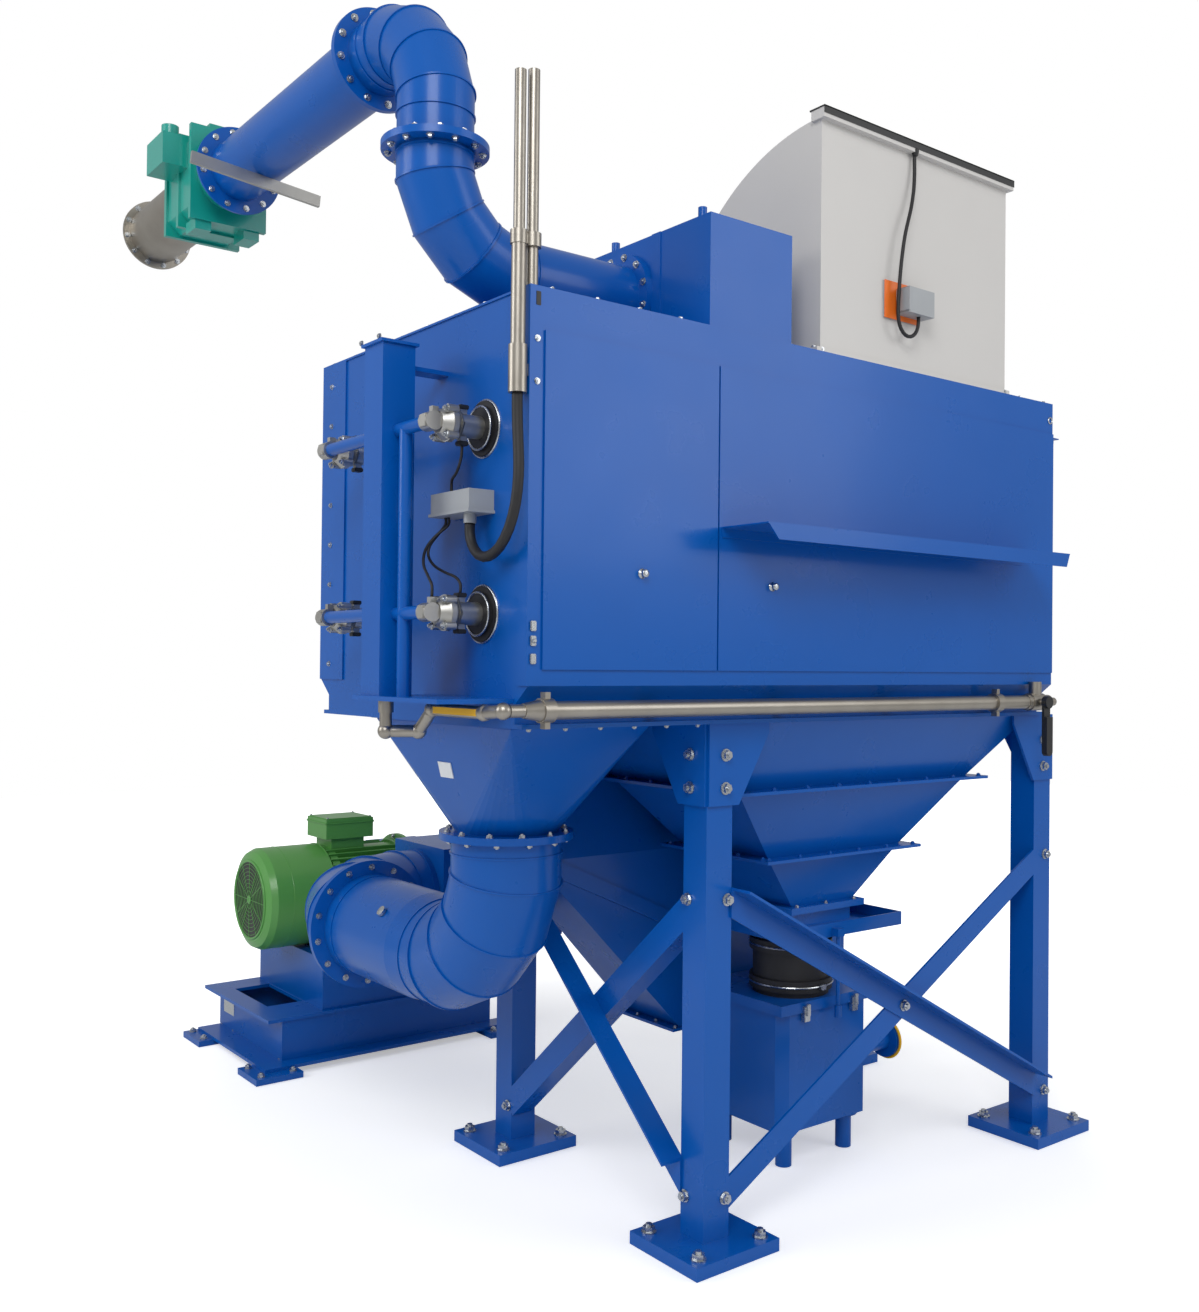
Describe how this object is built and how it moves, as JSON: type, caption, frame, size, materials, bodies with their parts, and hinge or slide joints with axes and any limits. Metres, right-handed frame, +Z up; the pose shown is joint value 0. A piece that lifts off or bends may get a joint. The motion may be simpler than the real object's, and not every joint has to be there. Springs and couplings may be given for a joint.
{
  "type": "dust collector",
  "caption": "Cartridge dust collector: blue cabinet on a braced leg frame with hopper, dust bin, roof inlet duct, vent hood and a separate motor driven fan.",
  "frame": {"origin": "centre of the underside of the front left base plate, on the floor", "axes": "+X along the long side to the right, +Y from the front to the back where the fan stands, +Z up"},
  "size_m": [2.8132, 3.291, 3.7105],
  "materials": {
    "blue_paint": "satin",
    "green_paint": "satin",
    "teal_paint": "satin",
    "grey_paint": "satin",
    "stainless": "satin",
    "aluminium": "satin",
    "black_rubber": "matte",
    "black_plastic": "matte",
    "grey_plastic": "matte"
  },
  "bodies": {
    "collector": {"leg_front_left": "blue_paint", "leg_front_right": "blue_paint", "leg_back_left": "blue_paint", "leg_back_right": "blue_paint", "gusset_plates": "blue_paint", "cross_braces": "blue_paint", "cabinet_flange": "blue_paint", "filter_cabinet": "blue_paint", "plenum_cabinet": "blue_paint", "roof_panel": "blue_paint", "front_panels": "blue_paint", "rain_ledge": "blue_paint", "air_header": "blue_paint", "header_fittings": "blue_paint", "pulse_valves": "aluminium", "valve_seals": "black_rubber", "junction_box": "grey_plastic", "conduits": "stainless", "power_cable": "black_rubber", "valve_leads": "black_rubber", "air_supply_pipe": "stainless", "air_supply_drop": "stainless", "ball_valve": "stainless", "roof_inlet_box": "blue_paint", "inlet_elbow": "blue_paint", "upper_elbow": "blue_paint", "straight_duct": "blue_paint", "isolation_valve": "teal_paint", "valve_bar": "aluminium", "duct_spool": "stainless", "vent_hood": "grey_paint", "hood_sensor": "grey_plastic", "sensor_cable": "black_rubber", "plenum_transition": "blue_paint", "outlet_elbow": "blue_paint", "fan_inlet_elbow": "blue_paint", "fan_motor": "green_paint", "fan_housing": "blue_paint", "fan_skid": "blue_paint", "hopper": "blue_paint", "slide_gate": "blue_paint", "bin_connector": "black_rubber", "dust_bin": "blue_paint", "rear_chute": "blue_paint"},
    "valve_lever": {"valve_lever": "black_plastic"}
  },
  "joints": [
    {"name": "valve_lever_turn", "type": "hinge", "parent": "collector", "child": "valve_lever", "pos_m": [1.445, -0.1693, 1.588], "axis": [0, 1, 0], "range_deg": [0, 90]}
  ]
}
